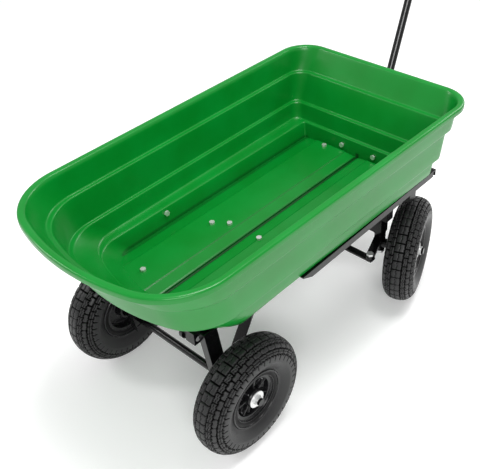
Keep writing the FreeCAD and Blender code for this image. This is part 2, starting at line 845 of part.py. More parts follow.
def latch_lever():
    """The lever: a hub, a hook that closes over the keeper bar, and a tail to pull."""
    def polar(radius, angle):
        return f"{radius} * cos({angle} * 1 deg)", f"{radius} * sin({angle} * 1 deg)"

    hub = rod("Y", "latch_hub", "latch_thick", 0, "-latch_thick / 2", 0)
    hook = plate("XZ_Plane", [polar("latch_throat", 55), polar("latch_reach", 55),
                              polar("latch_reach", 82), polar("latch_reach", 110),
                              polar("4", 150), polar("4", 10)], "latch_thick")
    tail = put(new("Part::Box", Length="latch_tail", Width="latch_thick", Height=8), 0, 0, 0)
    put(tail, "-4 * sin(60 * 1 deg)", "-latch_thick / 2", "-4 * cos(60 * 1 deg)", ("Y", 60))
    hole = rod("Y", "latch_pin_radius + running", "latch_thick + 2", 0, "-latch_thick / 2 - 1", 0)
    return put(cut(fuse(hub, hook, tail), hole), "latch_x", 0, "latch_height")


part("latch_lever", latch_lever())

# ---------------------------------------------------------------- steering

ARM_TOP = "arm_base + arm_thick"
TIE_LOW = "arm_base - apart - tie_thick"


def knuckle(sign):
    """A steering knuckle drawn about its own kingpin: sleeve, stub axle outboard, arm to the rear."""
    sleeve = rod("Z", "knuckle_radius", "beam_base - apart - knuckle_base", 0, 0, "knuckle_base")
    length = "stub_reach + hub_half + 15"
    start = "0" if sign > 0 else f"-({length})"
    stub = rod("Y", "axle_radius", length, 0, start, "wheel_radius")
    shoulder = "stub_reach - hub_half - apart"
    collar_start = "0" if sign > 0 else f"-({shoulder})"
    collar = rod("Y", "axle_radius + 4", shoulder, 0, collar_start, "wheel_radius")
    arm = box("-arm_reach", 0, "-arm_width / 2", "arm_width / 2", "arm_base", ARM_TOP)
    tip = rod("Z", "arm_width / 2", "arm_thick", "-arm_reach", 0, "arm_base")
    bore = rod("Z", "axle_radius + running", "beam_base", 0, 0, "knuckle_base - 2")
    pin_hole = rod("Z", "tie_pin_radius", "arm_thick + 2", "-arm_reach", 0, "arm_base - 1")
    body = cut(fuse(sleeve, stub, collar, arm, tip), bore, pin_hole)
    return put(body, "wheel_base", f"{sign} * kingpin_side", 0, ("Z", "steer_angle"))


part("knuckle_left", knuckle(1))
part("knuckle_right", knuckle(-1))


def tie_pin(y):
    """The bolt that joins an arm to the tie bar: head on top of the arm, tail under the bar."""
    head = hexagon("Z", "pin_head_radius", "pin_head_high", "-arm_reach", 0, ARM_TOP)
    foot = f"{TIE_LOW} - apart"
    shank = rod("Z", "tie_pin_radius", f"{ARM_TOP} - ({foot})", "-arm_reach", 0, foot)
    tail = hexagon("Z", "pin_head_radius", 5, "-arm_reach", 0, f"{foot} - 5")
    return put(fuse(head, shank, tail), "wheel_base", y, 0, ("Z", "steer_angle"))


part("tie_pin_left", tie_pin("kingpin_side"))
part("tie_pin_right", tie_pin("-kingpin_side"))
part("tie_pin_centre", tie_pin("0"))


def front_hardware(sign):
    """The washer and nut of one front wheel."""
    pair = washer_and_nut("stub_reach + hub_half + apart")
    if sign < 0:
        pair = mirrored(pair)
    held = together(pair)
    return put(held, "wheel_base", f"{sign} * kingpin_side", "wheel_radius", ("Z", "steer_angle"))


part("front_hardware_left", front_hardware(1))
part("front_hardware_right", front_hardware(-1))


def tie_bar():
    """The flat bar across the three arm ends, parallel to the axle at every steering angle."""
    half = "kingpin_side + tie_width / 2"
    bar = box("-tie_width / 2", "tie_width / 2", f"-({half})", half, TIE_LOW, "arm_base - apart")
    holes = [rod("Z", "tie_pin_radius + apart", "tie_thick + 2", 0, y, f"{TIE_LOW} - 1")
             for y in ("kingpin_side", "-kingpin_side")]
    centre = rod("Z", "tie_pin_radius + running", "tie_thick + 2", 0, 0, f"{TIE_LOW} - 1")
    back = "wheel_base - arm_reach * cos(steer_angle * 1 deg)"
    return put(cut(bar, *holes, centre), back, "-arm_reach * sin(steer_angle * 1 deg)", 0)


part("tie_bar", tie_bar())


def steering_plate():
    """The plate on the steering pivot: an arm to the tie bar behind, and the handle's yoke ahead."""
    sleeve = rod("Z", "knuckle_radius + 1", "beam_base - apart - knuckle_base", 0, 0, "knuckle_base")
    arm = box("-arm_reach", 0, "-arm_width / 2", "arm_width / 2", "arm_base", ARM_TOP)
    tip = rod("Z", "arm_width / 2", "arm_thick", "-arm_reach", 0, "arm_base")
    tongue = box(0, "yoke_reach - 26", "-yoke_wide / 2", "yoke_wide / 2", "arm_base", ARM_TOP)
    ears = []
    outline_points = [
        ("yoke_reach - 60", "arm_base + 1"),
        ("yoke_reach - 26", "arm_base + 1"),
        ("yoke_reach + 14", "yoke_height + 10"),
        ("yoke_reach + 14", "yoke_height - 10"),
        ("yoke_reach + 6", "yoke_height - 16"),
        ("yoke_reach - 10", "yoke_height - 16"),
    ]
    for sign in (1, -1):
        side = plate("XZ_Plane", outline_points, "yoke_plate")
        ears.append(put(side, 0, f"{sign} * (yoke_gap / 2 + yoke_plate / 2)", 0))
    bore = rod("Z", "axle_radius + running", "beam_base", 0, 0, "knuckle_base - 2")
    pin_hole = rod("Z", "tie_pin_radius", "arm_thick + 2", "-arm_reach", 0, "arm_base - 1")
    pivot = rod("Y", "pivot_radius", 100, "yoke_reach", -50, "yoke_height")
    body = cut(fuse(sleeve, arm, tip, tongue, *ears), bore, pin_hole, pivot)
    return put(body, "wheel_base", 0, 0, ("Z", "steer_angle"))


part("steering_plate", steering_plate())


def handle_bolt():
    """The bolt through the yoke, with its head on one side and its nut on the other."""
    outer = "yoke_gap / 2 + yoke_plate"
    shank = rod("Y", "pivot_radius", f"2 * ({outer})", "yoke_reach", f"-({outer})", "yoke_height")
    head = hexagon("Y", "pivot_radius + 4.5", 7, "yoke_reach", outer, "yoke_height")
    tail = hexagon("Y", "pivot_radius + 4.5", 7, "yoke_reach", f"-({outer}) - 7", "yoke_height")
    return put(fuse(shank, head, tail), "wheel_base", 0, 0, ("Z", "steer_angle"))


part("handle_pivot_bolt", handle_bolt())

# ---------------------------------------------------------------- handle

HANDLE_X = "wheel_base + yoke_reach * cos(steer_angle * 1 deg)"
HANDLE_Y = "yoke_reach * sin(steer_angle * 1 deg)"


def on_handle(thing):
    """Places a piece drawn upright from the handle's pivot along the leaning handle."""
    return put(thing, HANDLE_X, HANDLE_Y, "yoke_height", ("Z", "steer_angle"), ("Y", "handle_lean"))


def handle_tube():
    """The round pull tube with an eye across its lower end."""
    eye_half = "yoke_gap / 2 - apart"
    tube = rod("Z", "handle_radius", "handle_length", 0, 0, 0)
    eye = rod("Y", "eye_radius", f"2 * ({eye_half})", 0, f"-({eye_half})", 0)
    hollow = rod("Z", "handle_radius - 2", "handle_length", 0, 0, "eye_radius + 4")
    bore = rod("Y", "pivot_radius + running", 60, 0, -30, 0)
    return on_handle(cut(fuse(tube, eye), hollow, bore))


part("handle_tube", handle_tube())


def handle_grip():
    """The loop grip: a socket on the tube that spreads into two arms joined by a cross bar."""
    low = "handle_length - grip_stem"
    wide = "grip_gap_wide / 2 + 12"
    top = "handle_length + grip_gap_long + grip_bar + 12"
    loop = plate(
        "YZ_Plane",
        [
            ("-16", low),
            ("16", low),
            ("18", "handle_length"),
            (wide, f"{top} - grip_bar - 14"),
            (wide, f"{top} - 8"),
            (f"{wide} - 8", top),
            (f"8 - ({wide})", top),
            (f"-({wide})", f"{top} - 8"),
            (f"-({wide})", f"{top} - grip_bar - 14"),
            ("-18", "handle_length"),
        ],
        "grip_thick",
    )
    gap = plate(
        "YZ_Plane",
        [
            ("-10", "handle_length + 12"),
            ("10", "handle_length + 12"),
            ("grip_gap_wide / 2", f"{top} - grip_bar - 12"),
            ("grip_gap_wide / 2", f"{top} - grip_bar"),
            ("-grip_gap_wide / 2", f"{top} - grip_bar"),
            ("-grip_gap_wide / 2", f"{top} - grip_bar - 12"),
        ],
        "grip_thick + 4",
    )
    socket = rod("Z", "handle_radius", "grip_stem + 1", 0, 0, f"{low} - 1")
    return on_handle(cut(loop, gap, socket))


part("handle_grip", handle_grip())

# ---------------------------------------------------------------- wheels


def torus(outer_radius, section_radius):
    """A ring about the Y axis whose outermost circle has outer_radius."""
    body = new("Part::Torus", Radius1=f"({outer_radius}) - ({section_radius})", Radius2=section_radius)
    return put(body, 0, 0, 0, ("X", 90))


SEAT = "flange_half - flange_thick"


def tyre():
    """The tyre: a round section squared at the tread, open at the bead, clamped in the flanges."""
    half = "tyre_width / 2"
    body = fuse(
        torus("wheel_radius", half),
        ring("tread_radius", "tread_radius - 20", "tread_half"),
        ring("flange_radius + 4", "rim_radius", SEAT),
    )
    cavity = torus("wheel_radius - tyre_wall", f"{half} - tyre_wall")
    mouth = ring("rim_radius + 16", "rim_radius - 2", 14)
    clear = [ring("flange_radius + apart", "rim_radius - 6", 12, f"{sign} * ({SEAT} + 12)")
             for sign in (1, -1)]
    return cut(body, cavity, mouth, rod("Y", "rim_radius", 200, 0, -100, 0), *clear)


def inner_tube():
    """The inner tube, hollow, with its valve stem through the rim towards the hub."""
    reach = "wheel_radius - tyre_wall - apart"
    section = "tyre_width / 2 - tyre_wall - apart"
    body = torus(reach, section)
    hollow = torus(f"{reach} - tube_wall", f"{section} - tube_wall")
    foot = "(hub_radius + rim_radius - rim_wall) / 2"
    inside = f"{reach} - 2 * ({section}) + tube_wall"
    stem = rod("Z", "valve_radius", f"{inside} + 2 - ({foot})", 0, "valve_side", foot)
    bore = rod("Z", "valve_bore", f"{inside} + 8 - ({foot})", 0, "valve_side", f"{foot} - 1")
    kept_clear = ring("rim_radius + apart", 1, 11, 0)
    whole = fuse(cut(body, kept_clear), stem)
    return cut(whole, hollow, bore)


def wheel_rim():
    """The moulded rim: barrel, two flanges, web, hub and the ribs of its outboard recess."""
    barrel = ring("rim_radius", "rim_radius - rim_wall", "flange_half")
    flanges = [ring("flange_radius", "rim_radius - 1", "flange_thick / 2",
                    f"{sign} * (flange_half - flange_thick / 2)") for sign in (1, -1)]
    web = rod("Y", "rim_radius - 1", "web_thick", 0, "-web_thick / 2", 0)
    hub = rod("Y", "hub_radius", "2 * hub_half", 0, "-hub_half", 0)
    ribs = []
    for index in range(DRIVING["rib_count"]):
        rib = box("hub_radius - 2", "rim_radius - rim_wall + 1", "-hub_half + 5", "hub_half - 5",
                  "-rib_thick / 2", "rib_thick / 2")
        turner = together(rib)
        ribs.append(put(turner, 0, 0, 0, ("Y", f"270 + 360 / rib_count * ({index} + 0.5)")))
    through = rod("Y", "axle_radius + 2", 100, 0, -50, 0)
    seats = [rod("Y", "bearing_radius", 40, 0, "hub_half - bearing_length", 0),
             rod("Y", "bearing_radius", 40, 0, "-40 - hub_half + bearing_length", 0)]
    valve = rod("Z", "valve_radius + 2 * apart", "rim_wall + 4", 0, "valve_side", "rim_radius - rim_wall - 2")
    return cut(fuse(barrel, *flanges, web, hub, *ribs), through, *seats, valve)


def bearings():
    """The two flanged sleeve bearings of one wheel."""
    middle = "hub_half - bearing_length / 2"
    pair = [ring("bearing_radius", "axle_radius + running", "bearing_length / 2", f"{sign} * ({middle})")
            for sign in (1, -1)]
    return together(*pair)


WHEELS = {
    "rear_left": (0, "track_half", 0, 1),
    "rear_right": (0, "-track_half", 0, -1),
    "front_left": (
        "wheel_base - stub_reach * sin(steer_angle * 1 deg)",
        "kingpin_side + stub_reach * cos(steer_angle * 1 deg)",
        "steer_angle",
        1,
    ),
    "front_right": (
        "wheel_base + stub_reach * sin(steer_angle * 1 deg)",
        "-kingpin_side - stub_reach * cos(steer_angle * 1 deg)",
        "steer_angle",
        -1,
    ),
}
for corner_name, (wheel_x, wheel_y, wheel_turn, wheel_side) in WHEELS.items():
    facing = [("Z", wheel_turn)] + ([("Z", 180)] if wheel_side < 0 else []) + [("Y", "valve_turn")]
    for piece_name, make in (("tyre", tyre), ("inner_tube", inner_tube), ("rim", wheel_rim), ("bearings", bearings)):
        part(f"{piece_name}_{corner_name}", put(make(), wheel_x, wheel_y, "wheel_radius", *facing))

# ---------------------------------------------------------------- write

document.recompute()
for thing in document.Objects:
    if {"Invalid", "Error"} & set(thing.State):
        raise RuntimeError(f"{thing.Label} failed: {thing.State}")
os.makedirs("parts", exist_ok=True)
for thing in subparts:
    shape = thing.Shape
    if shape.isNull() or not shape.isValid():
        raise RuntimeError(f"{thing.Label} has no valid shape")
for thing in subparts:
    thing.Shape.exportStep(f"parts/{thing.Label}.step")
    print(thing.Label, len(thing.Shape.Solids), round(thing.Shape.Volume))
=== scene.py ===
# %% [markdown]
# # A garden dump cart
# A deep green tub of injection-moulded plastic sits on a black steel chassis with four pneumatic
# wheels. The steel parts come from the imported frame, where their sizes are already right. What
# the eye judges first, the tub, the tyres and the rims, is made again here as finer surfaces
# worked out with numpy, in the same places.

# %% Load the frame
import json
import math

import bpy
import numpy as np
from mathutils import Euler, Matrix, Vector


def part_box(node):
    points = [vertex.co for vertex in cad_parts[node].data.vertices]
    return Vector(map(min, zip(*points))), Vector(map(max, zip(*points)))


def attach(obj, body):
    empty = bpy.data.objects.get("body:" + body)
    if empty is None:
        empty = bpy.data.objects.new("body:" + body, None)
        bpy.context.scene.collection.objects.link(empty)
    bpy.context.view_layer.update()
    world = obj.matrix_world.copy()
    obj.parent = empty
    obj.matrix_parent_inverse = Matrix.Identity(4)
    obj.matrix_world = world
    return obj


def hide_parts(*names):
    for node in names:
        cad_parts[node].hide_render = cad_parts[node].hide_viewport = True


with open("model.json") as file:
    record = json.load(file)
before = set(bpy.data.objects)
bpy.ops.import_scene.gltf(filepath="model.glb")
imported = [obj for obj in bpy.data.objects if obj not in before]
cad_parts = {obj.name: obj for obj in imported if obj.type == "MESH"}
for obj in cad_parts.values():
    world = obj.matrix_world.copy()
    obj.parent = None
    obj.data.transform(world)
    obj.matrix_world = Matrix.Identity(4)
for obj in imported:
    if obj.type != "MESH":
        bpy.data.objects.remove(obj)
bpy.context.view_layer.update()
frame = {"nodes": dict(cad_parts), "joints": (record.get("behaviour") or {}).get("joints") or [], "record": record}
MM = 0.001
print("frame loaded:", len(frame["nodes"]), "nodes")

# %% [markdown]
# ## Shader maths as Python
# A material is mostly arithmetic on patterns. Wrapping a socket in a small class lets that
# arithmetic be written as ordinary expressions, each of which adds its own Math node.


# %% The socket class and the material maker
class Value:
    """A shader socket that can be added, multiplied and compared like a number."""

    def __init__(self, maker, socket):
        self.maker = maker
        self.socket = socket

    def math(self, operation, *others):
        return self.maker.node("ShaderNodeMath", {"operation": operation}, [self, *others])

    def __add__(self, other):
        return self.math("ADD", other)

    __radd__ = __add__

    def __mul__(self, other):
        return self.math("MULTIPLY", other)

    __rmul__ = __mul__

    def __sub__(self, other):
        return self.math("SUBTRACT", other)

    def __rsub__(self, other):
        return self.maker.node("ShaderNodeMath", {"operation": "SUBTRACT"}, [other, self])

    def __pow__(self, other):
        return self.math("POWER", other)

    def step(self, low, high):
        """0 below low, 1 above high, and smooth between."""
        settings = {"interpolation_type": "SMOOTHSTEP"}
        sockets = {"Value": self, "From Min": low, "From Max": high}
        return self.maker.node("ShaderNodeMapRange", settings, sockets)


class Maker:
    """Builds one material's node tree."""

    def __init__(self, name):
        self.material = bpy.data.materials.new(name)
        self.material.use_nodes = True
        self.tree = self.material.node_tree
        self.shader = self.tree.nodes["Principled BSDF"]

    def node(self, kind, settings=None, sockets=None, output=0):
        """Adds a node: its settings first, then the values or links of its sockets."""
        made = self.tree.nodes.new(kind)
        for key, setting in (settings or {}).items():
            setattr(made, key, setting)
        pairs = sockets.items() if isinstance(sockets, dict) else enumerate(sockets or [])
        for key, value in pairs:
            if isinstance(value, Value):
                self.tree.links.new(value.socket, made.inputs[key])
            else:
                made.inputs[key].default_value = value
        return Value(self, made.outputs[output])

    def place(self, scale=(1, 1, 1)):
        """Object coordinates, stretched by scale."""
        where = self.node("ShaderNodeTexCoord", output=3)
        return self.node("ShaderNodeMapping", {}, {"Vector": where, "Scale": scale})

    def noise(self, size, detail=3.0, rough=0.55, stretch=(1, 1, 1)):
        """Cloudy noise whose features are about size metres across."""
        sockets = {"Vector": self.place(stretch), "Scale": 1 / size, "Detail": detail, "Roughness": rough}
        return self.node("ShaderNodeTexNoise", {}, sockets)

    def mix(self, factor, first, second):
        """A colour mixed from first to second by factor."""
        sockets = {0: factor, 6: (*first, 1) if isinstance(first, tuple) else first,
                   7: (*second, 1) if isinstance(second, tuple) else second}
        return self.node("ShaderNodeMix", {"data_type": "RGBA"}, sockets, output=2)

    def bump(self, height, strength, distance):
        """A Bump node's normal from a height."""
        return self.node("ShaderNodeBump", {}, {"Height": height, "Strength": strength, "Distance": distance})

    def finish(self, **sockets):
        """Sets the shader's sockets, given with underscores for spaces."""
        for key, value in sockets.items():
            target = self.shader.inputs[key.replace("_", " ")]
            if isinstance(value, Value):
                self.tree.links.new(value.socket, target)
            else:
                target.default_value = (*value, 1) if isinstance(value, tuple) else value
        return self.material


# %% [markdown]
# ## The finishes
# The tub is glossy polypropylene: one strong green, a very fine moulded grain, and a slow ripple
# that makes long reflections waver. The steel wears gloss powder coat, which dries with an
# orange-peel skin. Rubber is nearly black, dull and faintly dusty where it is scuffed.


# %% Moulded green plastic
def green_plastic():
    """Deep green, a little lighter and duller in patches, with flow ripple and fine grain, and painted shade along
    the floor's channel, gutters and creases.
    """
    m = Maker("green_plastic")
    patches = m.noise(0.09, 2.0)
    flow = m.noise(0.03, 2.0, stretch=(0.25, 1, 1))
    grain = m.noise(0.0007, 2.0)
    scuffs = m.noise(0.006, 4.0, 0.7, stretch=(0.12, 1, 1)).step(0.62, 0.74)
    colour = m.mix(patches.step(0.3, 0.7), (0.0, 0.19, 0.016), (0.0, 0.215, 0.022))
    colour = m.mix(scuffs * 0.04, colour, (0.02, 0.3, 0.06))
    # Painted shade: the floor's centre channel, the gutters along the walls and the creases beside the ridges are
    # darkened in the colour, standing in for the shade that falls in them.
    spot = m.node("ShaderNodeTexCoord", output=3)
    side = m.node("ShaderNodeSeparateXYZ", {}, [spot], output=1).math("ABSOLUTE")
    height_here = m.node("ShaderNodeSeparateXYZ", {}, [spot], output=2)
    on_floor = 1 - height_here.step(0.3015, 0.304)
    channel = 1 - side.step(0.0028, 0.0075)
    gutter = side.step(0.1545, 0.1595) * (1 - height_here.step(0.2945, 0.298))
    crease = (1 - (side - 0.0338).math("ABSOLUTE").step(0.0003, 0.0016)) * 0.35
    painted_shade = (channel * 0.8).math("MAXIMUM", gutter * 0.45).math("MAXIMUM", crease) * on_floor
    colour = m.mix(painted_shade, colour, (0.0, 0.018, 0.002))
    height = flow * 0.6 + grain * 0.05
    return m.finish(
        Base_Color=colour,
        Roughness=patches * 0.06 + scuffs * 0.05 + 0.27,
        Specular_IOR_Level=0.38,
        Normal=m.bump(height, 0.3, 0.0006),
        Coat_Weight=0.08,
        Coat_Roughness=0.1,
    )


# %% Powder-coated steel, zinc and the black plastics
def black_paint():
    """Gloss black powder coat with orange peel and a few paler rubbed places."""
    m = Maker("black_paint")
    peel = m.noise(0.0022, 1.0)
    rubbed = m.noise(0.018, 5.0, 0.7).step(0.64, 0.78)
    return m.finish(
        Base_Color=m.mix(rubbed * 0.4, (0.003, 0.003, 0.0034), (0.012, 0.012, 0.013)),
        Roughness=rubbed * 0.15 + 0.24,
        Specular_IOR_Level=0.38,
        Normal=m.bump(peel, 0.35, 0.0003),
    )


def zinc():
    """Bright zinc plate: fine brushed lines and cloudy duller spots."""
    m = Maker("zinc_plate")
    lines = m.noise(0.0009, 3.0, stretch=(1, 1, 6))
    clouds = m.noise(0.007, 4.0, 0.65)
    return m.finish(
        Base_Color=m.mix(clouds, (0.66, 0.67, 0.68), (0.92, 0.92, 0.9)),
        Metallic=0.7,
        Roughness=clouds * 0.18 + 0.24,
        Normal=m.bump(lines, 0.25, 0.0001),
    )


def black_plastic(name, gloss, grain_size):
    """Black moulded plastic with a light grain and slightly cloudy gloss."""
    m = Maker(name)
    grain = m.noise(grain_size, 2.0)
    clouds = m.noise(0.012, 3.0)
    return m.finish(
        Base_Color=m.mix(clouds, (0.004, 0.004, 0.0045), (0.009, 0.009, 0.01)),
        Roughness=clouds * 0.12 + gloss,
        Specular_IOR_Level=0.35,
        Normal=m.bump(grain, 0.3, 0.0003),
    )


def tyre_rubber():
    """Black rubber: fine pebble, mottled dullness and a trace of pale dust, with painted shade in the tread grooves.
    """
    m = Maker("tyre_rubber")
    pebble = m.noise(0.0012, 3.0, 0.6)
    mottle = m.noise(0.011, 5.0, 0.65)
    dust = m.noise(0.03, 6.0, 0.7).step(0.56, 0.74)
    colour = m.mix(mottle, (0.008, 0.008, 0.0085), (0.019, 0.019, 0.0195))
    colour = m.mix(dust * 0.15, colour, (0.04, 0.04, 0.039))
    # Painted shade: block_top is low in the tread grooves, where the colour falls to near black and the reflection
    # is turned down.
    top = m.node("ShaderNodeAttribute", {"attribute_name": "block_top"}, output=2)
    return m.finish(
        Base_Color=m.mix(top, (0.001, 0.001, 0.001), colour),
        Roughness=mottle * 0.16 + dust * 0.08 + 0.32,
        Specular_IOR_Level=top * 0.36 + 0.02,
        Normal=m.bump(pebble + mottle * 0.5, 0.5, 0.0004),
    )


finishes = {
    "green_plastic": green_plastic(),
    "black_paint": black_paint(),
    "zinc": zinc(),
    "black_plastic": black_plastic("rim_plastic", 0.2, 0.0016),
    "grip_plastic": black_plastic("grip_plastic", 0.42, 0.0011),
    "tyre_rubber": tyre_rubber(),
    "tube_rubber": black_plastic("tube_rubber", 0.5, 0.002),
}
slot_of = {part["node"]: part["material_slot"] for part in frame["record"]["subparts"]}
for node_name, node_object in frame["nodes"].items():
    for material_slot in node_object.material_slots:
        material_slot.material = finishes[slot_of[node_name]]
print("finishes made:", len(finishes))

# %% [markdown]
# ## Surfaces on a grid
# Most pieces are one closed skin: rows of points that loop round, joined row to row. The helper
# takes a whole array of points at once and makes every quad from index arithmetic, so nothing is
# looped over in Python.


# %% The grid helper
def skin(name, points, close_rows=True, close_columns=True, flip=False, smooth=True):
    """A mesh from points[row, column, xyz], in metres: quad (i, j) joins rows i, i+1 and columns
    j, j+1, wrapping round where the grid is closed."""
    rows, columns, _ = points.shape
    i = np.arange(rows if close_rows else rows - 1)[:, None]
    j = np.arange(columns if close_columns else columns - 1)[None, :]
    after_i = (i + 1) % rows
    after_j = (j + 1) % columns
    corners = [i * columns + j, i * columns + after_j, after_i * columns + after_j, after_i * columns + j]
    faces = np.stack([c + 0 * i + 0 * j for c in corners], axis=-1).reshape(-1, 4)
    if flip:
        faces = faces[:, ::-1]
    mesh = bpy.data.meshes.new(name)
    mesh.vertices.add(rows * columns)
    mesh.vertices.foreach_set("co", points.reshape(-1).astype(np.float32))
    mesh.loops.add(faces.size)
    mesh.loops.foreach_set("vertex_index", faces.reshape(-1).astype(np.int32))
    mesh.polygons.add(len(faces))
    mesh.polygons.foreach_set("loop_start", np.arange(0, faces.size, 4, dtype=np.int32))
    mesh.polygons.foreach_set("use_smooth", np.full(len(faces), smooth))
    mesh.update(calc_edges=True)
    mesh.validate()
    piece = bpy.data.objects.new(name, mesh)
    bpy.context.scene.collection.objects.link(piece)
    return piece


def stand_for(piece, body, finish, *nodes):
    """Gives a piece its finish and has it ride on a body in place of CAD nodes."""
    piece.data.materials.append(finishes[finish])
    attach(piece, body)
    if nodes:
        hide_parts(*nodes)
    return piece


# %% [markdown]
# ## The tub
# One outline describes the tub in plan: a straight front, rounded front corners, long sides that
# taper a little, and a rear end bowed by one shallow arc. A profile then walks up the inside of
# the wall, over the rolled rim and down the outside, and at each step says how far in from the
# rim the front, the rear and the sides lie. Because the same point of the outline keeps its
# place at every level, the two together are a grid.

# %% Sizes of the tub
tub_low, tub_high = (np.array(corner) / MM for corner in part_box("tub"))
FRONT, REAR = tub_high[0], tub_low[0]
HALF_FRONT, TOP = tub_high[1], tub_high[2]
HALF_REAR = HALF_FRONT - 9
FLOOR_OUT = tub_low[2]
SKIN = 4.0
RIM_LIP = 13.5
# Each level: height, then how far in the front, rear and sides lie, then the radii of the front
# corner, the rear corner and the bow.
RIM_IN = (TOP - 5.5, 18, 18, 18, 56, 122, 502)
STEP_ONE = (447.7, 40, 44, 21, 40.7, 117, 490)
STEP_ONE_EDGE = (447.7, 48.5, 54, 30.5, 36, 110, 480)
STEP_TWO = (374.8, 68.5, 73, 34.2, 22.6, 100, 450)
STEP_TWO_EDGE = (374.8, 77, 82, 43, 22, 95, 440)
SHELF = (332.0, 83, 133, 47, 22, 85, 400)
BOX_TOP = (332.0, FRONT - 630, 134, HALF_REAR - 174, 6, 62, 392)
BOX_LOW = (290.0, FRONT - 627, 184, HALF_REAR - 168, 4, 44, 392)
BOX_SQUARE = HALF_FRONT - HALF_REAR


# %% The outline as a function
def outline(levels, counts=(22, 18, 60, 30, 26)):
    """Points [level, station, xyz] round the tub. Stations run from the right end of the front
    line, round the left side and the bow, back up the right side. The corner arcs are circles
    tangent to their neighbours, and the bow is a circle tangent to both rear corners."""
    across, corner, side, rear_corner, bow_count = counts
    height, front_in, rear_in, side_in, r_front, r_rear, r_bow, box_like = levels.T[:, :, None]
    x_front = FRONT - front_in
    x_rear = REAR + rear_in
    half_front = HALF_FRONT - side_in - box_like * BOX_SQUARE
    half_rear = HALF_REAR - side_in
    centre_y = half_rear - r_rear
    centre_x = x_rear + r_bow - np.sqrt((r_bow - r_rear) ** 2 - centre_y**2)
    bow_x = x_rear + r_bow
    away = np.arctan2(centre_y, centre_x - bow_x)

    def ramp(count):
        return np.linspace(0, 1, count, endpoint=False)[None, :]

    t = ramp(across // 2)
    xs = [x_front + 0 * t]
    ys = [(half_front - r_front) * t]
    turn = ramp(corner) * math.pi / 2
    xs.append(x_front - r_front + r_front * np.cos(turn))
    ys.append(half_front - r_front + r_front * np.sin(turn))
    t = ramp(side)
    xs.append((x_front - r_front) * (1 - t) + centre_x * t)
    ys.append(half_front * (1 - t) + half_rear * t)
    turn = math.pi / 2 + (away - math.pi / 2) * ramp(rear_corner)
    xs.append(centre_x + r_rear * np.cos(turn))
    ys.append(centre_y + r_rear * np.sin(turn))
    turn = away + (math.pi - away) * ramp(bow_count)
    xs.append(bow_x + r_bow * np.cos(turn))
    ys.append(r_bow * np.sin(turn))
    x_left, y_left = np.concatenate(xs, 1), np.concatenate(ys, 1)
    tail_x, tail_y = x_rear, 0 * x_rear
    x = np.concatenate([x_left, tail_x, x_left[:, :0:-1]], 1)
    y = np.concatenate([y_left, tail_y, -y_left[:, :0:-1]], 1)
    return np.stack([x, y, height + 0 * x], -1)


def level(spec, box_like=0.0, out=0.0):
    """A level as an array; out moves it to the outer skin, out millimetres outwards and down."""
    height, front_in, rear_in, side_in, r_front, r_rear, r_bow = spec
    return np.array([height - out, front_in - out, rear_in - out, side_in - out,
                     r_front + out, r_rear + out, r_bow + out, box_like])


def rounded(stops, steps=6):
    """A profile with soft corners. Each stop is (level, radius). The corner is a quadratic Bezier
    whose ends lie radius away along the straight runs either side, or nearly half the run."""
    levels = np.array([stop[0] for stop in stops])
    count = len(levels)
    before = levels[np.arange(count) - 1] - levels
    after = levels[(np.arange(count) + 1) % count] - levels
    radius = np.array([stop[1] for stop in stops])[:, None]

    def pull(run):
        reach = np.linalg.norm(run[:, [0, 1]], axis=1)[:, None]
        return run * np.minimum(radius / np.maximum(reach, 1e-6), 0.48)

    start, end = levels + pull(before), levels + pull(after)
    t = np.linspace(0, 1, steps)[None, :, None]
    curve = (1 - t) ** 2 * start[:, None] + 2 * t * (1 - t) * levels[:, None] + t**2 * end[:, None]
    return curve.reshape(-1, levels.shape[1])


def thicken(profile, longest=26.0):
    """The closed profile with extra levels, so that no run between two is longer than longest."""
    nxt = np.roll(profile, -1, axis=0)
    run = np.linalg.norm((nxt - profile)[:, [0, 1]], axis=1)
    parts = np.maximum(np.ceil(run / longest).astype(int), 1)
    start = np.repeat(profile, parts, axis=0)
    end = np.repeat(nxt, parts, axis=0)
    first = np.repeat(np.cumsum(parts) - parts, parts)
    t = (np.arange(parts.sum()) - first) / np.repeat(parts, parts)
    return start + (end - start) * t[:, None]


# %% The walls and the rolled rim
def rim_level(height, inset):
    """A level of the rim's own outline, moved in by inset."""
    return np.array([height, inset, inset, inset, 74 - inset, 140 - inset, 520 - inset, 0.0])


sunk = level(BOX_LOW, 1.0) + np.array([-2.5, 0.2, 3, 0.3, 0, 0, 0, 0])
wall_stops = [
    (sunk, 0.2),
    (level(BOX_TOP, 1.0), 3.0),
    (level(SHELF), 4.0),
    (level(STEP_TWO_EDGE), 3.2),
    (level(STEP_TWO), 3.2),
    (level(STEP_ONE_EDGE), 3.4),
    (level(STEP_ONE), 3.4),
    (rim_level(TOP - 7, 17.5), 4.0),
    (rim_level(TOP, 14), 5.0),
    (rim_level(TOP, 0), 5.5),
    (rim_level(TOP - RIM_LIP, 0), 1.2),
    (rim_level(TOP - RIM_LIP, 2.6), 1.2),
    (rim_level(TOP - 4, 3.6), 3.0),
    (rim_level(TOP - 4, 13.5), 3.0),
    (level(STEP_ONE, 0.0, SKIN), 5.0),
    (level(STEP_ONE_EDGE, 0.0, SKIN), 5.0),
    (level(STEP_TWO, 0.0, SKIN), 4.5),
    (level(STEP_TWO_EDGE, 0.0, SKIN), 4.5),
    (level(SHELF, 0.0, SKIN), 4.0),
    (level(BOX_TOP, 1.0, SKIN), 3.0),
    (level(BOX_LOW, 1.0, SKIN), 5.0),
    (level(BOX_LOW, 1.0, SKIN) + np.array([0, 5, 5, 5, 0, 0, 0, 0]), 0.3),
]
wall_profile = thicken(rounded(wall_stops))
walls = skin("tub_walls", outline(wall_profile) * MM, flip=True)
stand_for(walls, "tub", "green_plastic", "tub")
print("tub walls:", len(walls.data.polygons), "faces")

# %% [markdown]
# ## The floor of the tub
# The floor is stiffened by two long flat ridges, with a narrow channel between them and a groove
# along each wall. It is a height over the plan, so a plain grid does: its columns are gathered
# where the ridges turn, and its rear edge follows the bow.


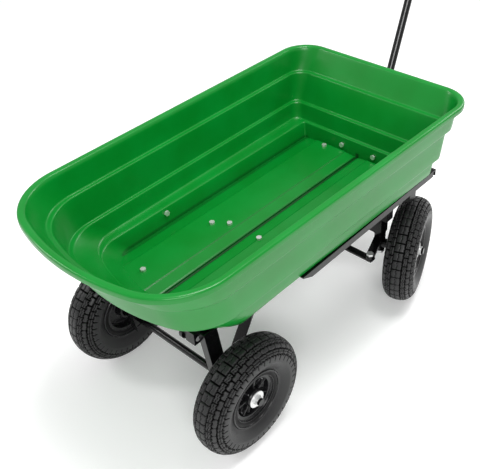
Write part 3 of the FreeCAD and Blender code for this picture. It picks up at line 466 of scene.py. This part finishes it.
# %% The ridged floor
def floor_height(x, y):
    """Height over the plan: the groove's level, plus a ridge that rises over the slope outside the
    channel, is flat across, falls towards the wall, and ends in a ramp at the rear."""
    side = np.abs(y)
    across = [0, 2.4, 4.2, 8, 32.5, 35, 119, 122, 125, 157, 160, 163, 400]
    rise = [0, 0, 3.4, 5.0, 8.6, 10, 10, 9.9, 8.6, 1.8, 0.2, 0, 0]
    up = np.interp(side, across, rise)
    ramp = np.clip((x + 60) / 10, 0, 1)
    front = np.clip((626 - x) / 5, 0, 1)
    return BOX_LOW[0] + up * (3 * ramp**2 - 2 * ramp**3) * (0.35 + 0.65 * front)


def floor_rows():
    """The y of the grid's lines: even, and gathered round each turn of the section."""
    turns = np.array([2.4, 4.2, 8, 32.5, 35, 119, 122, 125, 157, 160, 163])
    near = (turns[:, None] + np.array([-0.8, -0.3, 0.3, 0.8])[None, :]).ravel()
    side = np.unique(np.concatenate([np.linspace(0, 169.5, 34), near]))
    side = side[side <= 169.5]
    return np.concatenate([-side[:0:-1], side])


def tub_floor():
    """The floor's top from floor_height and its underside a skin lower, closed round the edge."""
    y = floor_rows()[:, None]
    reach = np.abs(y)
    _, _, rear_in, _, _, r_rear, r_bow = BOX_LOW
    half = 169.5
    x_rear = REAR + rear_in
    centre_y = half - r_rear
    centre_x = x_rear + r_bow - math.sqrt((r_bow - r_rear) ** 2 - centre_y**2)
    bow_x = x_rear + r_bow
    join = r_bow * math.sin(math.atan2(centre_y, centre_x - bow_x))
    on_bow = bow_x - np.sqrt(np.maximum(r_bow**2 - reach**2, 0))
    on_corner = centre_x - np.sqrt(np.maximum(r_rear**2 - np.maximum(reach - centre_y, 0) ** 2, 0))
    rear = np.where(reach < join, on_bow, on_corner)
    for _ in range(4):
        climb = floor_height(rear, y) - BOX_LOW[0]
        rear = np.where(reach < join, on_bow, on_corner) - 1.2 * climb - 1.5
    t = np.concatenate([np.linspace(0, 0.05, 16), np.linspace(0.06, 0.985, 50), np.linspace(0.988, 1, 8)])
    x = rear + (628.5 - rear) * t[None, :]
    top = np.stack([x, y + 0 * x, floor_height(x, y + 0 * x)], -1)
    under = top.copy()
    under[..., 2] -= SKIN
    rows = len(top)
    shell = np.concatenate([top, under[::-1]], 0)
    body = skin("tub_floor", shell * MM, close_rows=True, close_columns=False)
    bm_ends(body, rows, shell.shape[1])
    return body


def bm_ends(piece, rows, columns):
    """Closes the two open ends of a floor-like shell with quads between its top and its underside."""
    mesh = piece.data
    old = np.empty(len(mesh.loops), np.int32)
    mesh.loops.foreach_get("vertex_index", old)
    faces = old.reshape(-1, 4)
    k = np.arange(rows - 1)
    mate = 2 * rows - 1 - k
    rear_end = np.stack([k * columns, (k + 1) * columns, (mate - 1) * columns, mate * columns], -1)
    last = columns - 1
    front_end = rear_end[:, ::-1] + last
    faces = np.concatenate([faces, rear_end, front_end])
    co = np.empty(len(mesh.vertices) * 3, np.float32)
    mesh.vertices.foreach_get("co", co)
    mesh.clear_geometry()
    mesh.from_pydata(co.reshape(-1, 3).tolist(), [], faces.tolist())
    mesh.polygons.foreach_set("use_smooth", np.full(len(faces), True))
    mesh.update()


tub_base = tub_floor()
stand_for(tub_base, "tub", "green_plastic")
print("tub floor:", len(tub_base.data.polygons), "faces")

# %% [markdown]
# ## Bodies of revolution
# Rims, nuts, washers and tyres are all turned shapes. One function turns a closed profile of
# radius and offset about a wheel's own axis; a second argument can push each point in or out,
# which is how ribs and tread are raised.


# %% Wheels' places
def wheel_place(corner):
    """The wheel's centre and a matrix whose Y axis is the axle, pointing outboard."""
    low, high = (np.array(edge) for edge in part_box(f"rim_{corner}"))
    centre = (low + high) / 2
    joint = [j for j in frame["joints"] if j["name"] == f"wheel_spin_{corner}"][0]
    axis = Vector(joint["axis"]).normalized()
    centre = np.array(joint["pos_m"])
    outboard = axis if corner.endswith("left") else -axis
    up = Vector((0, 0, 1))
    ahead = outboard.cross(up)
    turn = np.array(Matrix((ahead, outboard, up)).transposed())
    return centre, turn


def turned(radius, offset, count, lift=None):
    """Points [station, profile, xyz] of a profile of radius and offset turned about the Y axis.
    lift[station, profile] moves a point outwards along radius, then along offset."""
    angle = np.linspace(0, 2 * math.pi, count, endpoint=False)[:, None]
    r = radius[None, :] + 0 * angle + (0 if lift is None else lift[0])
    o = offset[None, :] + 0 * angle + (0 if lift is None else lift[1])
    return np.stack([r * np.sin(angle), o, r * np.cos(angle)], -1)


def at_wheel(points, corner):
    """Moves points from a wheel's own millimetres to their place on the cart, in metres."""
    centre, turn = wheel_place(corner)
    return points * MM @ turn.T + centre


def soft_profile(stops, steps=5):
    """A closed profile from (radius, offset, corner radius) stops, each corner a Bezier."""
    points = np.array([stop[:2] for stop in stops], float)
    soft = np.array([stop[2] for stop in stops], float)[:, None]
    before = np.roll(points, 1, 0) - points
    after = np.roll(points, -1, 0) - points

    def pull(run):
        reach = np.linalg.norm(run, axis=1)[:, None]
        return run * np.minimum(soft / np.maximum(reach, 1e-6), 0.48)

    start, end = points + pull(before), points + pull(after)
    t = np.linspace(0, 1, steps)[None, :, None]
    curve = (1 - t) ** 2 * start[:, None] + 2 * t * (1 - t) * points[:, None] + t**2 * end[:, None]
    return curve.reshape(-1, 2)


# %% [markdown]
# ## The tyres
# A hand-truck tyre has rows of blocks. Each block of the middle rows is split by a zigzag sipe,
# the rows are staggered by half a block, and the shoulder carries bars crossed by small steps
# that fade into a smooth sidewall. The tread is a height on the developed surface: grooves are
# where the distance to a zigzag line or a block's edge is small.

# %% Tread and tyre
TYRE_R = 130.0
TYRE_HALF = 38.0
BLOCKS = 38
TREAD_DEPTH = 5.0


def groove(distance, half_width, soft):
    """1 on the line and 0 away from it, with a smooth wall of the given softness."""
    t = np.clip((half_width + soft - distance) / soft, 0, 1)
    return t * t * (3 - 2 * t)


def zigzag(phase, amount):
    """A triangle wave of the phase, from -amount to amount."""
    return amount * (2 * np.abs(2 * (phase % 1.0) - 1) - 1)


def tread(angle, across):
    """Depth cut into the rubber at an angle round the tyre and a distance across the section."""
    pitch = 2 * math.pi * TYRE_R / BLOCKS
    turns = angle * BLOCKS / (2 * math.pi)
    side = np.abs(across)

    def gap(shift, half_width):
        """Distance-based groove between the blocks of one row."""
        along = np.abs((turns + shift + 0.5) % 1.0 - 0.5) * pitch
        return groove(along, half_width, 0.9)

    ends = [12.5, 24.5, 36.5, 48.5, 60.0]
    row = np.searchsorted(ends, side)
    wave = zigzag(turns * 2, 0.9)
    cut = np.maximum(groove(np.abs(across - wave), 0.35, 0.5) * 0.5, gap(0.0, 1.0) * (row == 0))
    for index, end in enumerate(ends[:4]):
        between = groove(np.abs(side - end - wave), 1.0, 0.7)
        blocks = gap(0.5 if index % 2 == 0 else 0.0, 1.1) * (row == index + 1)
        cut = np.maximum.reduce([cut, between, blocks])
    sipe = groove(np.abs(side - 18.5 - wave), 0.3, 0.5) * 0.45
    steps = groove(np.abs(side - 42.5), 0.5, 0.6) * 0.6 * (row == 3)
    cut = np.maximum(np.maximum(cut, sipe), steps)
    fade = np.interp(side, [24, 44, 59.5, 61.5], [1, 0.75, 0.45, 0])
    return TREAD_DEPTH * cut * fade


def tyre_section(count):
    """The tyre's closed section: a superellipse outside, from bead to bead over the crown, then
    back along the inside. Returns radius, offset, distance across and outward directions."""
    bead_r, bead_o = 66.5, 25.6
    mid_r = 92.0
    turn = np.linspace(-1, 1, count)
    angle = turn * math.radians(128)
    bulge = 2.35
    s, c = np.sin(angle), np.cos(angle)
    scale = (np.abs(s) ** bulge + np.abs(c) ** bulge) ** (-1 / bulge)
    up = np.where(c > 0, TYRE_R - mid_r, 36.0)
    offset = TYRE_HALF * s * scale
    radius = mid_r + up * c * scale
    low = np.clip((mid_r - 4 - radius) / (mid_r - 4 - bead_r), 0, 1)
    offset = offset * (1 - low) + np.sign(offset) * np.maximum(bead_o, np.abs(offset) * 0.8) * low
    radius = np.maximum(radius, bead_r)
    across = np.concatenate([[0], np.cumsum(np.hypot(np.diff(offset), np.diff(radius)))])
    across -= across[-1] / 2
    dr, do = np.gradient(radius), np.gradient(offset)
    size = np.hypot(dr, do) + 1e-9
    return radius, offset, across, do / size, -dr / size


def make_tyre(corner, around=760, section=112):
    """A tyre's outside with its tread cut in, closed by the bead and a plain inside."""
    radius, offset, across, out_r, out_o = tyre_section(section)
    inside_r = np.array([53.5, 53.5, 70.0, 95.0, 112.0, 118.0, 112.0, 95.0, 70.0, 53.5, 53.5])
    inside_o = np.array([24.3, 14.0, 14.0, 29.0, 22.0, 0.0, -22.0, -29.0, -14.0, -14.0, -24.3])
    angle = np.linspace(0, 2 * math.pi, around, endpoint=False)[:, None]
    depth = tread(angle, across[None, :])
    pad = np.zeros((around, len(inside_r)))
    lift_r = np.concatenate([-depth * out_r[None, :], pad], 1)
    lift_o = np.concatenate([-depth * out_o[None, :], pad], 1)
    points = turned(np.concatenate([radius, inside_r]), np.concatenate([offset, inside_o]), around,
                    (lift_r, lift_o))
    tyre = skin(f"tread_{corner}", at_wheel(points, corner), flip=True)
    # block_top holds the painted shade of the grooves: 1 on the block tops, near 0 deep in the grooves, and 0.3 over
    # the plain inside.
    top = np.concatenate([1 - np.clip(depth / TREAD_DEPTH * 2.2, 0, 1), pad + 0.3], 1)
    tyre.data.attributes.new("block_top", "FLOAT", "POINT").data.foreach_set("value", top.ravel().astype(np.float32))
    return stand_for(tyre, f"wheel_{corner}", "tyre_rubber", f"tyre_{corner}")


# %% [markdown]
# ## The rims
# Each rim is one black moulding: a rolled flange that grips the bead, a sloping dish, a flat
# ring, a recess crossed by thin ribs, and a hub boss. The profile is turned, and inside the
# recess the surface is lifted wherever a rib passes.

# %% Rim
RIBS = 7
VALVE_TURN = 165.0


def make_rim(corner, around=420):
    """The rim's closed profile turned, with ribs raised in the outboard recess."""
    stops = [
        (67, 26.4, 1.0), (65, 28.6, 1.4), (62.3, 27.6, 1.2), (60.8, 23.6, 1.2), (52, 21.5, 1.6),
        (50.3, 18.4, 1.0), (43.6, 17.6, 1.0), (41.5, 6.5, 1.6), (34, 4.3, 3), (21.5, 4.5, 2.0),
        (20.0, 20.0, 1.5), (17.5, 24, 1.2), (8.2, 24, 0.3), (8.2, -24, 0.3), (19, -24, 1.5),
        (21, -4, 2), (43, -4, 2), (46, -22, 1), (60, -23.6, 2), (63, -27.6, 1.2), (65, -28.6, 1.4),
        (67, -26.4, 0.8), (66, -24.9, 0.3), (52, -24.0, 0.8), (52, 24.0, 0.8), (66, 24.9, 0.3),
    ]
    profile = soft_profile(stops)
    extra = 3
    nxt = np.roll(profile, -1, 0)
    t = (np.arange(extra) / extra)[None, :, None]
    profile = (profile[:, None] * (1 - t) + nxt[:, None] * t).reshape(-1, 2)
    radius, offset = profile.T
    angle = np.linspace(0, 2 * math.pi, around, endpoint=False)[:, None]
    ahead = (angle - math.radians(VALVE_TURN)) * RIBS / (2 * math.pi) + 0.5
    phase = np.abs((ahead + 0.5) % 1 - 0.5) * 2 * math.pi / RIBS
    rib = groove(phase * radius[None, :], 1.3, 0.8)
    recess = ((radius > 20.6) & (radius < 44) & (offset > 3.5) & (offset < 16.5))[None, :]
    lift_o = np.where(recess, (14.5 - offset[None, :]).clip(0) * rib, 0)
    points = turned(radius, offset, around, (0 * lift_o, lift_o))
    rim = skin(f"moulded_rim_{corner}", at_wheel(points, corner), flip=True)
    return stand_for(rim, f"wheel_{corner}", "black_plastic", f"rim_{corner}")


# %% [markdown]
# ## Washer, nut and valve
# A plain zinc washer covers the hub and a nut holds it on the threaded axle end. The valve stem
# stands in the recess, with a knurled cap.


# %% Wheel hardware
def ride_body(corner):
    """The body that carries a wheel's axle."""
    return "chassis" if corner.startswith("rear") else f"knuckle_{corner.split('_')[1]}"


def make_washer(corner):
    """A washer with rolled edges, a domed hexagon nut and, on the rear wheels, a painted sleeve over the axle."""
    washer = soft_profile([(19, 24.3, 0.5), (19, 26.8, 0.9), (8.1, 26.8, 0.4), (8.1, 24.3, 0.3)])
    points = turned(washer[:, 0], washer[:, 1], 96)
    disc = skin(f"hub_washer_{corner}", at_wheel(points[:, ::-1], corner))
    stand_for(disc, ride_body(corner), "zinc")
    stops = [(13, 26.8, 0.3), (13, 33.8, 0.6), (8.1, 33.8, 0.5), (8.1, 26.8, 0.3)]
    nut = soft_profile(stops)
    angle = np.linspace(0, 2 * math.pi, 72, endpoint=False)[:, None]
    flat = np.abs((angle + math.pi / 6) % (math.pi / 3) - math.pi / 6)
    hexagon = 10.0 / np.cos(flat)
    dome = np.minimum(hexagon, 11.9 - np.maximum(nut[:, 1] - 31.8, 0)[None, :] * 0.9)
    lift = np.where(nut[:, 0][None, :] > 9, dome - nut[:, 0][None, :], 0)
    points = turned(nut[:, 0], nut[:, 1], 72, (lift, 0 * lift))
    hexed = skin(f"hub_nut_{corner}", at_wheel(points[:, ::-1], corner), smooth=False)
    nodes = ["rear_axle_hardware"] if corner.startswith("rear") else [f"front_hardware_{corner.split('_')[1]}"]
    stand_for(hexed, ride_body(corner), "zinc", *nodes)
    if corner.startswith("rear"):
        sleeve = soft_profile([(11, -61, 0.6), (11, -24.3, 0.6), (8.05, -24.3, 0.3), (8.05, -61, 0.3)])
        points = turned(sleeve[:, 0], sleeve[:, 1], 64)
        tube = skin(f"axle_sleeve_{corner}", at_wheel(points[:, ::-1], corner))
        stand_for(tube, "chassis", "black_paint")


VALVE_SIDE = 8.5


def make_valve(corner):
    """A tapered rubber stem with a ribbed cap, standing in the recess of the rim."""
    length = np.linspace(0, 1, 25)
    radius = np.interp(length, [0, 0.08, 0.45, 0.5, 0.55, 0.93, 1], [4.2, 3.9, 3.3, 3.3, 4.1, 4.0, 2.6])
    angle = np.linspace(0, 2 * math.pi, 40, endpoint=False)[:, None]
    knurl = 0.14 * np.cos(angle * 20) * (length > 0.55)[None, :]
    r = np.concatenate([[0.01], radius, [0.01]])[None, :] + np.pad(knurl, ((0, 0), (1, 1)))
    down = np.concatenate([[0], length, [1]])[None, :] * 24
    turn = math.radians(VALVE_TURN)
    x, y = r * np.cos(angle), VALVE_SIDE + r * np.sin(angle)
    z = 45.5 - down + 0 * x
    points = np.stack([x * math.cos(turn) + z * math.sin(turn), y, z * math.cos(turn) - x * math.sin(turn)], -1)
    stem = skin(f"valve_{corner}", at_wheel(points, corner))
    return stand_for(stem, f"wheel_{corner}", "tube_rubber")


CORNERS = ("rear_left", "rear_right", "front_left", "front_right")
for corner_name in CORNERS:
    make_tyre(corner_name)
    make_rim(corner_name)
    make_washer(corner_name)
    make_valve(corner_name)
print("wheels made:", len(CORNERS))

# %% [markdown]
# ## Floor, light and camera
# A pale seamless floor, a bright even surround and four large soft lamps, as for a product shot.

# %% Stage
floor_mesh = bpy.data.meshes.new("studio_floor")
FAR = 12.0
floor_mesh.from_pydata([(-FAR, -FAR, 0), (FAR, -FAR, 0), (FAR, FAR, 0), (-FAR, FAR, 0)], [], [(0, 1, 2, 3)])
floor = bpy.data.objects.new("studio_floor", floor_mesh)
bpy.context.scene.collection.objects.link(floor)
paper = Maker("studio_paper")
floor.data.materials.append(paper.finish(Base_Color=(0.97, 0.97, 0.97), Roughness=0.9, Specular_IOR_Level=0.1,
                                        Emission_Color=(1.0, 1.0, 1.0), Emission_Strength=0.12))

world = bpy.data.worlds.new("studio")
world.use_nodes = True
world.node_tree.nodes["Background"].inputs["Color"].default_value = (1, 1, 1, 1)
world.node_tree.nodes["Background"].inputs["Strength"].default_value = 0.5
bpy.context.scene.world = world
bpy.context.scene.view_settings.view_transform = "Standard"


def lamp(name, place, target, power, width, height):
    """A rectangular area lamp at place, turned to face target."""
    light = bpy.data.lights.new(name, "AREA")
    light.shape = "RECTANGLE"
    light.size, light.size_y = width, height
    light.energy = power
    holder = bpy.data.objects.new(name, light)
    holder.location = place
    holder.rotation_euler = (Vector(target) - Vector(place)).to_track_quat("-Z", "Y").to_euler()
    bpy.context.scene.collection.objects.link(holder)


CENTRE = (0.25, 0.0, 0.35)
lamp("key", (-1.7, -2.2, 2.0), CENTRE, 50, 1.6, 1.2)
lamp("left", (-1.4, 2.3, 2.0), CENTRE, 28, 0.5, 1.8)
lamp("front", (3.0, -0.4, 1.9), CENTRE, 26, 1.4, 1.0)
lamp("top", (0.5, -0.3, 3.0), CENTRE, 54, 1.2, 1.0)

# %% Camera
camera_data = bpy.data.cameras.new("camera")
camera_data.sensor_width = 36
camera_data.lens = 54.6
camera_data.shift_x = -0.10656
camera_data.shift_y = -0.03004
camera = bpy.data.objects.new("camera", camera_data)
camera.location = (-0.64255, -0.89454, 1.28193)
TILT, ROLL, HEADING = 52.542, 1.356, -49.596
camera.rotation_euler = Euler([math.radians(turn) for turn in (TILT, ROLL, HEADING)])
bpy.context.scene.collection.objects.link(camera)
bpy.context.scene.camera = camera
